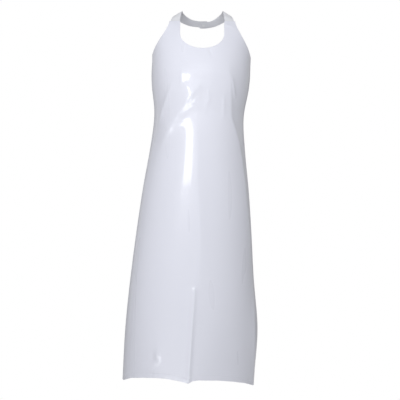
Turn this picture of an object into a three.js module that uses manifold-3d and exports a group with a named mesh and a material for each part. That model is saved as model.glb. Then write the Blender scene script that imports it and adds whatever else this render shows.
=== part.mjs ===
// Butcher apron: a film panel with a bib, a neck strap and two waist straps that close with press studs.
// Millimetres, +Z up. The wearer faces -Y and +X is on the right of someone facing the wearer.
// The panel is one flat sheet wrapped round a body form; straps, patches and studs are fitted to that form.
import * as THREE from 'three';
import * as BufferGeometryUtils from 'three/addons/utils/BufferGeometryUtils.js';
import Module from 'manifold-3d';

const wasm = await Module();
wasm.setup();

// ---------------------------------------------------------------- driving dimensions

// Heights, from the hem at centre front
const shoulderHeight = 1200;
const tabDrop = 38; // top of the tabs below the shoulder line
const neckDrop = 136; // bottom of the neck scoop below the shoulder line
const bibDrop = 152; // outer corners of the bib below the shoulder line
const bustDrop = 200; // fullest part of the chest below the shoulder line
const tieDrop = 345; // middle of the waist straps below the shoulder line

// Cut of the sheet, as half widths from its centre line
const hemHalfCut = 350;
const tieHalfCut = 300;
const bibHalfCut = 196;
const tabOuterCut = 108;
const neckHalfCut = 72;
const neckScoopHeight = 52;
const shoulderHollow = 1.45; // how hollow the shoulder line is cut; 1 is straight

// Body form that the sheet is wrapped round
const hemHalfWidth = 216;
const waistHalfWidth = 147;
const chestHalfWidth = 164;
const hemFrontDepth = 150;
const waistFrontDepth = 100;
const bustFrontDepth = 116;
const neckFrontDepth = 100;
const collarFrontDepth = 72;
const tabFrontDepth = 44;
const collarDrop = 40; // the collar bone's level below the top of the tabs
const ribDrop = 50; // the ribs' level below the fullest part of the chest
const ribHollow = 4; // the form is this much shallower and narrower at the ribs
const backDepth = 95;
const backSquareness = 3; // exponent of the superellipse behind; 2 is an ellipse
const shoulderLineDepth = -8; // the shoulder line lies this far in front of the form's middle
const skirtFlare = [[0.2, 0.95], [0.45, 0.73], [0.7, 0.42], [0.88, 0.12]]; // height up to the waist, flare
const hemSway = 48; // the skirt hangs this far to one side at the hem
const swayTopDrop = 100; // the sway starts this far below the shoulder line
const swayEase = 60; // the height over which the sway sets in
const cornerDrop = 20; // the hem's back corners hang this much lower

// Materials' thicknesses and weld gaps
const filmThickness = 0.6;
const strapThickness = 1.0;
const weldGap = 1.0; // between two curved layers that are welded together
const slit = 0.4; // between the fixed end, the fold and the free run of one strap
const pieceGap = 0.3; // between parts of a stud

// Straps
const neckStrapWidth = 31;
const waistStrapWidth = 30;
const strapLap = 38; // length of strap end welded inside the panel
const lapInset = 2; // from the neckline to the edge of the strap inside a tab
const patchMargin = 8; // how far a patch reaches past the strap end
const patchInset = 1; // from the panel's edge to a patch's edge
const shoulderHalfGap = 67; // from the neck's centre line to the strap's inner edge at the shoulder
const shoulderStrapSlope = 16; // the strap's outer edge is this much lower than its inner edge
const browRise = 4.5; // how far the strap stands up between the tab and the shoulder line
const napeDepth = 78; // from the shoulder line back to the upper edge of the strap at the nape
const napeDrop = 23; // upper edge of the strap at the nape below the shoulder line
const napeTilt = 60; // lean of the strap at the nape, in degrees from upright
const napeFlatHalf = 12; // half length of the straight run at the nape
const napeSag = 1.6; // how roundly the strap falls from the shoulders to the nape; 1 is straight
const neckFold = [0.74, 0.84]; // stations of the neck strap's fold along its route
const waistFlatHalf = 58; // half length of the straight run at the back of the waist
const waistSink = 4; // the straps' straight run lies this far inside the form's back
const waistRunIn = 14; // length over which a strap bends into the straight run
const waistRunFall = 1.5; // and how far it comes back over that length
const waistFold = 0.74; // station at which the waist strap's fold starts
const strapEnd = 14; // strap left beyond the centre of a stud

// Press studs
const capRadius = 6.5;
const capHeight = 1.6;
const rivetRadius = 1.8;
const socketRadius = 5.6;
const socketHeight = 2.6;
const nippleRadius = 2.1;
const nippleHeight = 1.7;
const studRadius = 5.4;
const studPlate = 0.8;
const postRadius = 5.0;
const postPlate = 0.8;
const pinRadius = 1.0;
const rimRound = 0.4; // bevel of the studs' rims
const nippleRound = 0.3;
const studPitch = 25;
const neckStudX = 4; // from the neck's centre line to the stud
const waistStudX = 0; // from the centre line to the stud in use

// Fineness of the meshes
const columns = 22;
const skirtRows = 13;
const armholeRows = 6;
const scoopRows = 5;
const tabRows = 3;
const turns = 18;
const outlineSteps = 180;
const strapStep = 9; // length of one face along a strap
const lapPoints = 5; // stations of a waist strap's edge along its lap
const probe = 0.5; // step used to find the panel's slope

// ---------------------------------------------------------------- values that follow from them

const tabHeight = shoulderHeight - tabDrop;
const neckHeight = shoulderHeight - neckDrop;
const bibHeight = shoulderHeight - bibDrop;
const bustHeight = shoulderHeight - bustDrop;
const tieHeight = shoulderHeight - tieDrop;
const armholeHeight = tieHeight + waistStrapWidth / 2 + patchMargin;
const swayTop = shoulderHeight - swayTopDrop;
const swaySlope = hemSway / swayTop;

const white = { color: 0xe9eaf0, roughness: 0.25, metalness: 0 };
const strapWhite = { color: 0xd9dadf, roughness: 0.35, metalness: 0 };
const acetal = { color: 0xf2f2f2, roughness: 0.4, metalness: 0 };

const mix = THREE.MathUtils.lerp;

// ---------------------------------------------------------------- body form

/** A smooth value through a list of [height, value] stations. */
function through(stations, height) {
  let i = 0;
  while (i < stations.length - 2 && height > stations[i + 1][0]) i += 1;
  const [z0, v0] = stations[i];
  const [z1, v1] = stations[i + 1];
  const before = stations[Math.max(i - 1, 0)];
  const after = stations[Math.min(i + 2, stations.length - 1)];
  const step = z1 - z0;
  const t = THREE.MathUtils.clamp((height - z0) / step, 0, 1);
  const slope0 = (v1 - before[1]) / (z1 - before[0]);
  const slope1 = (after[1] - v0) / (after[0] - z0);
  const t2 = t * t;
  const t3 = t2 * t;
  return (2 * t3 - 3 * t2 + 1) * v0 + (t3 - 2 * t2 + t) * step * slope0
    + (3 * t2 - 2 * t3) * v1 + (t3 - t2) * step * slope1;
}

const halfWidths = [
  [-cornerDrop, hemHalfWidth],
  ...skirtFlare.map(([up, flare]) => [tieHeight * up, mix(waistHalfWidth, hemHalfWidth, flare)]),
  [tieHeight, waistHalfWidth],
  [bustHeight - ribDrop, chestHalfWidth - ribHollow],
  [bustHeight + ribDrop / 2, chestHalfWidth],
  [shoulderHeight, chestHalfWidth],
];

const frontDepths = [
  [-cornerDrop, hemFrontDepth],
  [tieHeight / 2, (hemFrontDepth + waistFrontDepth) / 2],
  [tieHeight, waistFrontDepth],
  [bustHeight - ribDrop, bustFrontDepth - ribHollow],
  [bustHeight, bustFrontDepth],
  [neckHeight, neckFrontDepth],
  [tabHeight - collarDrop, collarFrontDepth],
  [tabHeight, tabFrontDepth],
  [shoulderHeight, -shoulderLineDepth],
];

/** Point of the form's outline at a given angle from centre front, seen from above. */
function outline(angle, half, front) {
  const power = 2 / backSquareness;
  const behind = Math.abs(angle) > Math.PI / 2;
  const sine = Math.abs(Math.sin(angle));
  const cosine = Math.abs(Math.cos(angle));
  const x = half * Math.sign(angle) * (behind ? sine ** power : sine);
  const y = behind ? backDepth * cosine ** power : -front * cosine;
  return new THREE.Vector2(x, y);
}

/** Point at arc length s from centre front, positive to +X, on the form's outline at a height. */
function formPoint(s, height) {
  const half = through(halfWidths, height);
  const front = through(frontDepths, height);
  const reach = Math.abs(s);
  let travelled = 0;
  let last = outline(0, half, front);
  for (let i = 1; i <= outlineSteps; i += 1) {
    const next = outline((Math.PI * i) / outlineSteps, half, front);
    const length = next.distanceTo(last);
    if (travelled + length >= reach) {
      last.lerp(next, (reach - travelled) / length);
      break;
    }
    travelled += length;
    last = next;
  }
  return new THREE.Vector2(Math.sign(s) * last.x, last.y);
}

/** Sideways shift of the hanging apron at a height, eased in below the sway's top. */
function sway(height) {
  const below = swayTop - height;
  return -swaySlope * (below + Math.hypot(below, swayEase)) / 2;
}

/** Lean of the hanging apron at a height: the change of sway for a unit of height. */
function lean(height) {
  const below = swayTop - height;
  return swaySlope * (1 + below / Math.hypot(below, swayEase)) / 2;
}

/** Where the point of the sheet at (s, height) lies once the apron is worn. */
function panelPoint(s, height) {
  const flat = formPoint(s, height);
  const skirt = Math.max(0, 1 - height / tieHeight);
  const drop = cornerDrop * skirt * (s / hemHalfCut) ** 2;
  return new THREE.Vector3(flat.x + sway(height), flat.y, height - lean(height) * flat.x - drop);
}

// ---------------------------------------------------------------- thin bodies

/** Adds a point to a net of (u, v) points, once, and gives its index. */
function netPoint(net, u, v) {
  const key = `${u.toFixed(4)},${v.toFixed(4)}`;
  if (!net.index.has(key)) {
    net.index.set(key, net.points.length);
    net.points.push([u, v]);
  }
  return net.index.get(key);
}

/** Adds a rectangular patch to a net: one row of (u, v) pairs for each line of points. */
function netGrid(net, lines, flipped = false) {
  const ids = lines.map((line) => line.map(([u, v]) => netPoint(net, u, v)));
  for (let j = 0; j + 1 < ids.length; j += 1) {
    for (let i = 0; i + 1 < ids[j].length; i += 1) {
      const quad = [ids[j][i], ids[j][i + 1], ids[j + 1][i + 1], ids[j + 1][i]];
      if (flipped) quad.reverse();
      net.faces.push([quad[0], quad[1], quad[2]], [quad[0], quad[2], quad[3]]);
    }
  }
}

/** An empty net. */
function emptyNet() {
  return { points: [], faces: [], index: new Map() };
}

/** A plain rectangular net between two values of u and two of v. */
function plainNet(u0, u1, stepsU, v0, v1, stepsV) {
  const net = emptyNet();
  const lines = [];
  for (let j = 0; j <= stepsV; j += 1) {
    const line = [];
    for (let i = 0; i <= stepsU; i += 1) line.push([mix(u0, u1, i / stepsU), mix(v0, v1, j / stepsV)]);
    lines.push(line);
  }
  netGrid(net, lines);
  return net;
}

/** Outward normal of a surface at (u, v), by small steps. */
function normalOf(surface, u, v, du, dv) {
  const alongU = surface(u + du, v).sub(surface(u - du, v));
  const alongV = surface(u, v + dv).sub(surface(u, v - dv));
  return alongU.cross(alongV).normalize();
}

/** A closed body of even thickness: the net laid on a surface and moved off it by an offset. */
function sheetBody(net, surface, thickness, offset, du, dv) {
  const vertices = [];
  for (const side of [0.5, -0.5]) {
    for (const [u, v] of net.points) {
      const shift = normalOf(surface, u, v, du, dv).multiplyScalar(offset + side * thickness);
      vertices.push(surface(u, v).add(shift));
    }
  }
  const count = net.points.length;
  const triangles = [];
  const edges = new Map();
  for (const [a, b, c] of net.faces) {
    triangles.push([a, b, c], [a + count, c + count, b + count]);
    for (const [from, to] of [[a, b], [b, c], [c, a]]) edges.set(`${from},${to}`, [from, to]);
  }
  for (const [from, to] of edges.values()) {
    if (edges.has(`${to},${from}`)) continue;
    triangles.push([from, from + count, to + count], [from, to + count, to]);
  }
  const geometry = new THREE.BufferGeometry();
  geometry.setAttribute('position', new THREE.Float32BufferAttribute(vertices.flatMap((p) => p.toArray()), 3));
  geometry.setIndex(triangles.flat());
  return geometry;
}

// ---------------------------------------------------------------- solids

/** A geometry as a solid that can be cut. */
function solidOf(geometry) {
  const bare = geometry.clone();
  bare.deleteAttribute('normal');
  bare.deleteAttribute('uv');
  const merged = BufferGeometryUtils.mergeVertices(bare, 1e-4);
  return new wasm.Manifold(new wasm.Mesh({
    numProp: 3,
    vertProperties: new Float32Array(merged.attributes.position.array),
    triVerts: new Uint32Array(merged.index.array),
  }));
}

/** A solid back as a geometry. */
function geometryOf(solid) {
  const mesh = solid.getMesh();
  const geometry = new THREE.BufferGeometry();
  geometry.setAttribute('position', new THREE.BufferAttribute(mesh.vertProperties, 3));
  geometry.setIndex(new THREE.BufferAttribute(mesh.triVerts, 1));
  return geometry;
}

/** A turned piece about +Z, from a closed profile of [radius, height] points. */
function turned(profile) {
  const points = profile.map(([r, z]) => new THREE.Vector2(r, z));
  return new THREE.LatheGeometry(points, turns).rotateX(Math.PI / 2);
}

/** A geometry with round holes through it, each given by the placing matrix of its stud. */
function drilled(geometry, radius, places) {
  const depth = 6 * strapThickness;
  let solid = solidOf(geometry);
  for (const place of places) {
    const drill = turned([[0, -depth], [radius, -depth], [radius, depth], [0, depth]]);
    solid = solid.subtract(solidOf(drill.applyMatrix4(place)));
  }
  return geometryOf(solid);
}

/** A named mesh with its own material. */
function piece(name, geometry, look) {
  const flat = geometry.index ? geometry.toNonIndexed() : geometry;
  flat.computeVertexNormals();
  const mesh = new THREE.Mesh(flat, new THREE.MeshStandardMaterial(look));
  mesh.name = name;
  return mesh;
}

// ---------------------------------------------------------------- apron panel

/** Half width of the sheet at a height: flared skirt, curved armhole, sloping shoulder. */
function outerCut(height) {
  if (height <= armholeHeight) return mix(hemHalfCut, tieHalfCut, height / armholeHeight);
  if (height <= bibHeight) {
    const up = (height - armholeHeight) / (bibHeight - armholeHeight);
    return mix(tieHalfCut, bibHalfCut, 1 - (1 - up) ** 2);
  }
  const left = (tabHeight - height) / (tabHeight - bibHeight);
  return mix(tabOuterCut, bibHalfCut, left ** shoulderHollow);
}

/** Half width of the neck scoop at a height, an arc of an ellipse and then straight up. */
function innerCut(height) {
  if (height <= neckHeight) return 0;
  const up = Math.min(1, (height - neckHeight) / neckScoopHeight);
  return neckHalfCut * Math.sqrt(1 - (1 - up) ** 2);
}

/** Evenly spaced values from one to another, without the last. */
function steps(from, to, count) {
  return Array.from({ length: count }, (_, i) => mix(from, to, i / count));
}

function apronPanel() {
  const scoopTop = neckHeight + neckScoopHeight;
  const scoopAngles = steps(0, Math.PI / 2, scoopRows);
  const heights = [
    ...steps(0, armholeHeight, skirtRows),
    ...steps(armholeHeight, bibHeight, armholeRows),
    bibHeight,
    ...scoopAngles.map((angle) => scoopTop - neckScoopHeight * Math.cos(angle)),
    ...steps(scoopTop, tabHeight, tabRows),
    tabHeight,
  ];
  const net = emptyNet();
  for (const side of [-1, 1]) {
    const lines = heights.map((height) => {
      const line = [];
      for (let i = 0; i <= columns; i += 1) {
        line.push([side * mix(innerCut(height), outerCut(height), i / columns), height]);
      }
      return line;
    });
    netGrid(net, lines, side < 0);
  }
  return piece('apron_panel', sheetBody(net, panelPoint, filmThickness, 0, probe, probe), white);
}

// ---------------------------------------------------------------- neck strap

const strapUnderFilm = -(filmThickness / 2 + weldGap + strapThickness / 2);
const patchUnderStrap = strapUnderFilm - (strapThickness / 2 + weldGap + filmThickness / 2);
const studStack = strapThickness + studPlate + socketHeight + 3 * pieceGap;

const napeLean = THREE.MathUtils.degToRad(napeTilt);
const napeAcross = new THREE.Vector3(0, Math.sin(napeLean), -Math.cos(napeLean));
const napeOut = new THREE.Vector3(0, Math.cos(napeLean), Math.sin(napeLean));
const napeEdge = new THREE.Vector3(0, shoulderLineDepth + napeDepth, shoulderHeight - napeDrop);

/** Point of a strap's edge round the back of the neck: 0 on the shoulder line, 1 at the straight run. */
function collarPoint(side, outward, lift, turn) {
  const level = Math.sqrt(neckStrapWidth ** 2 - shoulderStrapSlope ** 2);
  const nape = napeEdge.clone().addScaledVector(napeAcross, neckStrapWidth * outward);
  nape.addScaledVector(napeOut, lift * turn);
  const angle = (turn * Math.PI) / 2;
  const x = mix(napeFlatHalf, shoulderHalfGap + level * outward, Math.cos(angle));
  const y = mix(shoulderLineDepth, nape.y, Math.sin(angle));
  const beside = Math.cos(angle) ** napeSag;
  return new THREE.Vector3(side * x, y, mix(nape.z, shoulderHeight - shoulderStrapSlope * outward, beside));
}

/** One edge of a shoulder strap, from its lap in the tab to the start of the nape's straight run. */
function shoulderEdge(side, outward, lift) {
  const s = side * (neckHalfCut + lapInset + neckStrapWidth * outward);
  const under = (height) => {
    const normal = normalOf(panelPoint, s, height, probe, probe);
    return panelPoint(s, height).addScaledVector(normal, strapUnderFilm);
  };
  const tabTop = under(tabHeight - patchInset);
  const peak = collarPoint(side, outward, lift, 0);
  const brow = tabTop.clone().lerp(peak, 0.5);
  brow.z += browRise;
  return new THREE.CatmullRomCurve3([
    under(tabHeight - strapLap),
    under(tabHeight - strapLap / 2),
    tabTop,
    brow,
    peak,
    ...[0.25, 0.5, 0.75, 1].map((turn) => collarPoint(side, outward, lift, turn)),
  ], false, 'centripetal');
}

/** Surface of a neck strap: u from 0 to 1 over the shoulder, beyond 1 along the nape; v across. */
function neckSurface(side, lift) {
  const inner = shoulderEdge(side, 0, lift);
  const outer = shoulderEdge(side, 1, lift);
  const run = inner.getLength();
  const surface = (u, v) => {
    const along = THREE.MathUtils.clamp(u, 0, 1);
    const point = inner.getPoint(along).lerp(outer.getPoint(along), v);
    point.x -= side * Math.max(0, u - 1) * run;
    return point;
  };
  return Object.assign(surface, { run });
}

/** Placing of a press stud on the nape's straight run, with its axis off the strap's face. */
function neckStudPlace(lift) {
  const middle = napeEdge.clone().addScaledVector(napeAcross, neckStrapWidth / 2);
  middle.addScaledVector(napeOut, lift).setX(neckStudX);
  const turn = new THREE.Quaternion().setFromUnitVectors(new THREE.Vector3(0, 0, 1), napeOut);
  return new THREE.Matrix4().compose(middle, turn, new THREE.Vector3(1, 1, 1));
}

/** A length of strap between two stations of its route, as a closed body. */
function strapBody(surface, from, to) {
  const faces = Math.ceil(((to - from) * surface.run) / strapStep);
  const net = plainNet(from, to, faces, 0, 1, 2);
  return sheetBody(net, surface, strapThickness, 0, probe / surface.run, 0.05);
}

// ---------------------------------------------------------------- press studs

/** The stud's nippled half, seated on the outer face of the strap that carries it. */
function studPiece(name, place) {
  const seat = strapThickness / 2 + pieceGap;
  const bore = pinRadius + pieceGap;
  const top = seat + studPlate + nippleHeight;
  const profile = [
    [bore, seat], [studRadius, seat], [studRadius, seat + studPlate - rimRound],
    [studRadius - rimRound, seat + studPlate], [nippleRadius - nippleRound / 2, seat + studPlate],
    [nippleRadius, top - nippleRound], [nippleRadius - nippleRound, top], [bore, top],
    [bore, seat],
  ];
  return piece(name, turned(profile).applyMatrix4(place), acetal);
}

/** The post behind the strap, with a pin through the strap into the stud. */
function postPiece(name, place) {
  const seat = -strapThickness / 2 - pieceGap;
  const pinTop = strapThickness / 2 + pieceGap + studPlate + nippleHeight - pieceGap;
  const profile = [
    [0, seat - postPlate], [postRadius - rimRound, seat - postPlate], [postRadius, seat - postPlate + rimRound],
    [postRadius, seat], [pinRadius, seat], [pinRadius, pinTop], [0, pinTop],
  ];
  return piece(name, turned(profile).applyMatrix4(place), acetal);
}

/** The socket under the closing strap, open towards the stud. */
function socketPiece(name, place) {
  const top = -strapThickness / 2 - pieceGap;
  const bore = nippleRadius + pieceGap;
  const profile = [
    [bore, top - socketHeight], [socketRadius - rimRound, top - socketHeight],
    [socketRadius, top - socketHeight + rimRound],
    [socketRadius, top], [bore, top], [bore, top - socketHeight],
  ];
  return piece(name, turned(profile).applyMatrix4(place), acetal);
}

/** The domed cap outside the closing strap, with a rivet through the strap into the socket. */
function capPiece(name, place) {
  const seat = strapThickness / 2 + pieceGap;
  const rivetEnd = strapThickness / 2 + studPlate + nippleHeight + 2 * pieceGap - studStack;
  const dome = [0, 0.35, 0.7, 1].map((turn) => {
    const angle = (turn * Math.PI) / 2;
    return [capRadius * Math.cos(angle), seat + capHeight * mix(0.4, 1, Math.sin(angle))];
  });
  const profile = [[0, rivetEnd], [rivetRadius, rivetEnd], [rivetRadius, seat], [capRadius, seat], ...dome];
  return piece(name, turned(profile).applyMatrix4(place), acetal);
}

// ---------------------------------------------------------------- shoulders and neck closure

/** Patch of film welded inside the panel over the end of a strap, from s0 to s1 and low to high. */
function patch(name, side, s0, s1, low, high) {
  const net = plainNet(side * s0, side * s1, 4, low, high, 4);
  if (side < 0) net.faces.forEach((face) => face.reverse());
  return piece(name, sheetBody(net, panelPoint, filmThickness, patchUnderStrap, probe, probe), white);
}

/** Patch over the end of the neck strap inside a tab. */
function shoulderPatch(name, side) {
  const low = tabHeight - strapLap - patchMargin;
  return patch(name, side, neckHalfCut + patchInset, tabOuterCut - patchInset, low, tabHeight - patchInset);
}

function neckPieces() {
  const long = neckSurface(-1, studStack);
  const short = neckSurface(1, 0);
  const cut = slit / (2 * long.run);
  const longEnd = 1 + (napeFlatHalf + neckStudX + strapEnd) / long.run;
  const shortEnd = 1 + (napeFlatHalf - neckStudX + strapEnd) / short.run;
  const [foldStart, foldEnd] = neckFold;
  const outer = neckStudPlace(studStack);
  const inner = neckStudPlace(0);
  const freeRun = strapBody(long, foldEnd + cut, longEnd);
  const shortStrap = strapBody(short, 0, shortEnd);
  return [
    shoulderPatch('left_shoulder_patch', -1),
    shoulderPatch('right_shoulder_patch', 1),
    piece('neck_strap_anchor', strapBody(long, 0, foldStart - cut), strapWhite),
    piece('neck_strap_bend', strapBody(long, foldStart + cut, foldEnd - cut), strapWhite),
    piece('neck_strap', drilled(freeRun, rivetRadius + pieceGap, [outer]), strapWhite),
    piece('neck_stud_strap', drilled(shortStrap, pinRadius + pieceGap, [inner]), strapWhite),
    capPiece('neck_snap_cap', outer),
    socketPiece('neck_snap_socket', outer),
    studPiece('neck_stud', inner),
    postPiece('neck_stud_post', inner),
  ];
}

// ---------------------------------------------------------------- waist straps and their closure

const waistBack = backDepth - waistSink;
const tieCut = outerCut(tieHeight);

/** Frame of the waist closure: it leans and shifts with the hanging apron. */
function waistFrame() {
  const place = new THREE.Matrix4().makeRotationY(Math.atan(lean(tieHeight)));
  return place.setPosition(sway(tieHeight), 0, tieHeight);
}

/** One edge of a waist strap, from its lap inside the panel to the start of the straight run. */
function waistEdge(side, rise, lift) {
  const under = (reach) => {
    const s = side * reach;
    const normal = normalOf(panelPoint, s, tieHeight + rise, probe, probe);
    return panelPoint(s, tieHeight + rise).addScaledVector(normal, strapUnderFilm);
  };
  const behind = (x, y) => new THREE.Vector3(side * x, y, rise).applyMatrix4(waistFrame());
  return new THREE.CatmullRomCurve3([
    ...steps(tieCut - strapLap, tieCut - patchInset, lapPoints).map(under),
    under(tieCut - patchInset),
    behind(waistFlatHalf + waistRunIn, waistBack + lift - waistRunFall),
    behind(waistFlatHalf, waistBack + lift),
  ], false, 'centripetal');
}

/** Surface of a waist strap: u from 0 to 1 along its curve, beyond 1 along the straight run. */
function waistSurface(side, lift) {
  const lower = waistEdge(side, -waistStrapWidth / 2, lift);
  const upper = waistEdge(side, waistStrapWidth / 2, lift);
  const run = lower.getLength();
  const inward = new THREE.Vector3(-side, 0, 0).transformDirection(waistFrame());
  const surface = (u, v) => {
    const along = THREE.MathUtils.clamp(u, 0, 1);
    const point = lower.getPoint(along).lerp(upper.getPoint(along), v);
    return point.addScaledVector(inward, Math.max(0, u - 1) * run);
  };
  return Object.assign(surface, { run });
}

/** Placing of a press stud on the back's straight run, with its axis pointing backwards. */
function waistStudPlace(x, lift) {
  const local = new THREE.Matrix4().makeRotationX(-Math.PI / 2).setPosition(x, waistBack + lift, 0);
  return waistFrame().multiply(local);
}

/** Patch over the end of a waist strap inside a back corner of the panel. */
function waistPatch(name, side) {
  const half = waistStrapWidth / 2 + patchMargin - 2 * patchInset;
  const from = tieCut - strapLap - patchMargin;
  return patch(name, side, from, tieCut - 2 * patchInset, tieHeight - half, tieHeight + half);
}

function waistPieces() {
  const right = waistSurface(1, studStack);
  const left = waistSurface(-1, 0);
  const cut = slit / (2 * right.run);
  const rightEnd = 1 + (waistFlatHalf - waistStudX + strapEnd) / right.run;
  const leftEnd = 1 + (waistFlatHalf + waistStudX + strapEnd) / left.run;
  const outer = waistStudPlace(waistStudX, studStack);
  const places = [0, 1, 2].map((i) => waistStudPlace(waistStudX - i * studPitch, 0));
  const freeRun = strapBody(right, 1 + cut, rightEnd);
  const leftStrap = strapBody(left, 0, leftEnd);
  return [
    waistPatch('left_waist_patch', -1),
    waistPatch('right_waist_patch', 1),
    piece('waist_strap_anchor', strapBody(right, 0, waistFold - cut), strapWhite),
    piece('waist_strap_bend', strapBody(right, waistFold + cut, 1 - cut), strapWhite),
    piece('waist_strap', drilled(freeRun, rivetRadius + pieceGap, [outer]), strapWhite),
    piece('left_waist_strap', drilled(leftStrap, pinRadius + pieceGap, places), strapWhite),
    capPiece('waist_snap_cap', outer),
    socketPiece('waist_snap_socket', outer),
    ...places.map((place, i) => studPiece(`waist_stud_${i + 1}`, place)),
    ...places.map((place, i) => postPiece(`waist_stud_post_${i + 1}`, place)),
  ];
}

// ---------------------------------------------------------------- assembly

const shoulderLine = new THREE.Vector3(0, shoulderLineDepth, shoulderHeight);
const apron = new THREE.Group();
apron.position.copy(shoulderLine).negate();
apron.add(apronPanel(), ...neckPieces(), ...waistPieces());

export default apron;
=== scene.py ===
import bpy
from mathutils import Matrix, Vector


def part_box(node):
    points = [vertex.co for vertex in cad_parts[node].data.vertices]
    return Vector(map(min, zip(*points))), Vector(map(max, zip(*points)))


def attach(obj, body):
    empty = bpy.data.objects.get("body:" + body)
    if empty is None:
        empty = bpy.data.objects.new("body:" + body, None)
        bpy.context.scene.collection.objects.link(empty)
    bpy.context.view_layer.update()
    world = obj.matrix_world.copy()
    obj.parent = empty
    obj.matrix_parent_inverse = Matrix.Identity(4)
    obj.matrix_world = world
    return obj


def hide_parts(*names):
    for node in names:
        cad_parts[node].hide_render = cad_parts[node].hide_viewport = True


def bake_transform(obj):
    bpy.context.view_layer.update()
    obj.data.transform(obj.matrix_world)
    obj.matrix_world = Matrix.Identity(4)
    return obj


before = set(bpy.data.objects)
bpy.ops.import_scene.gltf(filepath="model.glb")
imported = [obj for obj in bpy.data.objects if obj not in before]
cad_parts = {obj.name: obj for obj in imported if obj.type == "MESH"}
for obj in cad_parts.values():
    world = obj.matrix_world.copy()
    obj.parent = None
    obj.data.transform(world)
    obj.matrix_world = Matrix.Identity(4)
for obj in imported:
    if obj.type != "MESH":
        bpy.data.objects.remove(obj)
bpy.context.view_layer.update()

import math

import bmesh
import bpy
import numpy as np
from mathutils import Matrix, Vector

# ---------------------------------------------------------------- Apron panel
# One sheet of thick white plastic film, die-cut with a bib, two shoulder tabs, armholes and a neck scoop.
# It is worn, so it is wrapped round a body and drawn in at the waist. It was packed folded down the middle,
# so it keeps a crease there. Its bottom edge is turned up inside and welded.
film = 0.0005
shoulder_height = 1.200
tab_height = shoulder_height - 0.038
neck_height = shoulder_height - 0.136
bib_height = shoulder_height - 0.152
bust_height = shoulder_height - 0.200
tie_height = shoulder_height - 0.345
armhole_height = tie_height + 0.023
under_bust = 0.050
bust_ease = 0.004
hem_half_cut = 0.350
tie_half_cut = 0.300
bib_half_cut = 0.196
tab_outer_cut = 0.108
neck_half_cut = 0.072
neck_scoop_height = 0.052
shoulder_hollow = 1.45
hem_half_width = 0.216
waist_half_width = 0.147
chest_half_width = 0.164
hem_front = 0.150
waist_front = 0.100
bust_front = 0.116
neck_front = 0.100
collar_front = 0.072
tab_front = 0.044
shoulder_front = 0.008
back_depth = 0.095
sway_top = shoulder_height - 0.100
sway_slope = 0.048 / sway_top
sway_ease = 0.060
corner_drop = 0.020
hem_turn = 0.014
hem_wave_top = 0.45
origin = np.array(Vector((0, -shoulder_front, shoulder_height)))


def mix(a, b, t):
    return a + (b - a) * t


def through(stations, height):
    """A smooth value through (height, value) stations."""
    i = 0
    while i < len(stations) - 2 and height > stations[i + 1][0]:
        i += 1
    (z0, v0), (z1, v1) = stations[i], stations[i + 1]
    before, after = stations[max(i - 1, 0)], stations[min(i + 2, len(stations) - 1)]
    t = min(max((height - z0) / (z1 - z0), 0), 1)
    slope0 = (v1 - before[1]) / (z1 - before[0]) * (z1 - z0)
    slope1 = (after[1] - v0) / (after[0] - z0) * (z1 - z0)
    return ((2 * t**3 - 3 * t**2 + 1) * v0 + (t**3 - 2 * t**2 + t) * slope0
            + (3 * t**2 - 2 * t**3) * v1 + (t**3 - t**2) * slope1)


skirt_flare = [(0.2, 0.95), (0.45, 0.73), (0.7, 0.42), (0.88, 0.12)]
half_widths = [
    (-corner_drop, hem_half_width),
    *((tie_height * up, mix(waist_half_width, hem_half_width, flare)) for up, flare in skirt_flare),
    (tie_height, waist_half_width),
    (bust_height - under_bust, chest_half_width - bust_ease),
    (bust_height + 0.025, chest_half_width),
    (shoulder_height, chest_half_width),
]
front_depths = [
    (-corner_drop, hem_front),
    (tie_height * 0.5, mix(hem_front, waist_front, 0.5)),
    (tie_height, waist_front),
    (bust_height - under_bust, bust_front - bust_ease),
    (bust_height, bust_front),
    (neck_height, neck_front),
    (tab_height - 0.040, collar_front),
    (tab_height, tab_front),
    (shoulder_height, shoulder_front),
]
angles = np.linspace(0, math.pi, 721)
sines, cosines = np.abs(np.sin(angles)), np.abs(np.cos(angles))
behind = angles > math.pi / 2


def form_row(s, height):
    """Points at arc lengths s from centre front on the body's outline at one height, seen from above."""
    half, front = through(half_widths, height), through(front_depths, height)
    x = half * np.where(behind, sines ** (2 / 3), sines)
    y = np.where(behind, back_depth * cosines ** (2 / 3), -front * cosines)
    run = np.concatenate([[0], np.cumsum(np.hypot(np.diff(x), np.diff(y)))])
    return np.sign(s) * np.interp(np.abs(s), run, x), np.interp(np.abs(s), run, y)


def sway(height):
    """How far the sheet has moved sideways at one height, because it hangs at a slight slant."""
    below = sway_top - height
    return -sway_slope * (below + math.hypot(below, sway_ease)) / 2


def lean(height):
    """Slope of the slant at one height."""
    below = sway_top - height
    return sway_slope * (1 + below / math.hypot(below, sway_ease)) / 2


# how far the bottom edge dips below its mean line at each arc length s
hem_line = np.array([
    (-0.35, 0.028), (-0.25, 0.0205), (-0.20, 0.0044), (-0.15, -0.0038), (-0.10, -0.0090), (-0.07, -0.0100),
    (-0.03, -0.0062), (0.0045, 0.0), (0.016, -0.0075), (0.035, -0.0105), (0.10, -0.0095), (0.15, -0.0039),
    (0.20, 0.0049), (0.25, 0.0187), (0.35, 0.030),
])


def worn(s, heights):
    """Where the sheet's points lie when it is worn, before its folds: s is (rows, columns)."""
    points = np.zeros(s.shape + (3,))
    for row, height in enumerate(heights):
        x, y = form_row(s[row], height)
        drop = max(0, 1 - height / hem_wave_top) ** 2 * np.interp(s[row], hem_line[:, 0], hem_line[:, 1])
        points[row, :, 0] = x + sway(height)
        points[row, :, 1] = y
        points[row, :, 2] = height - lean(height) * x - drop
    return points - origin


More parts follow.
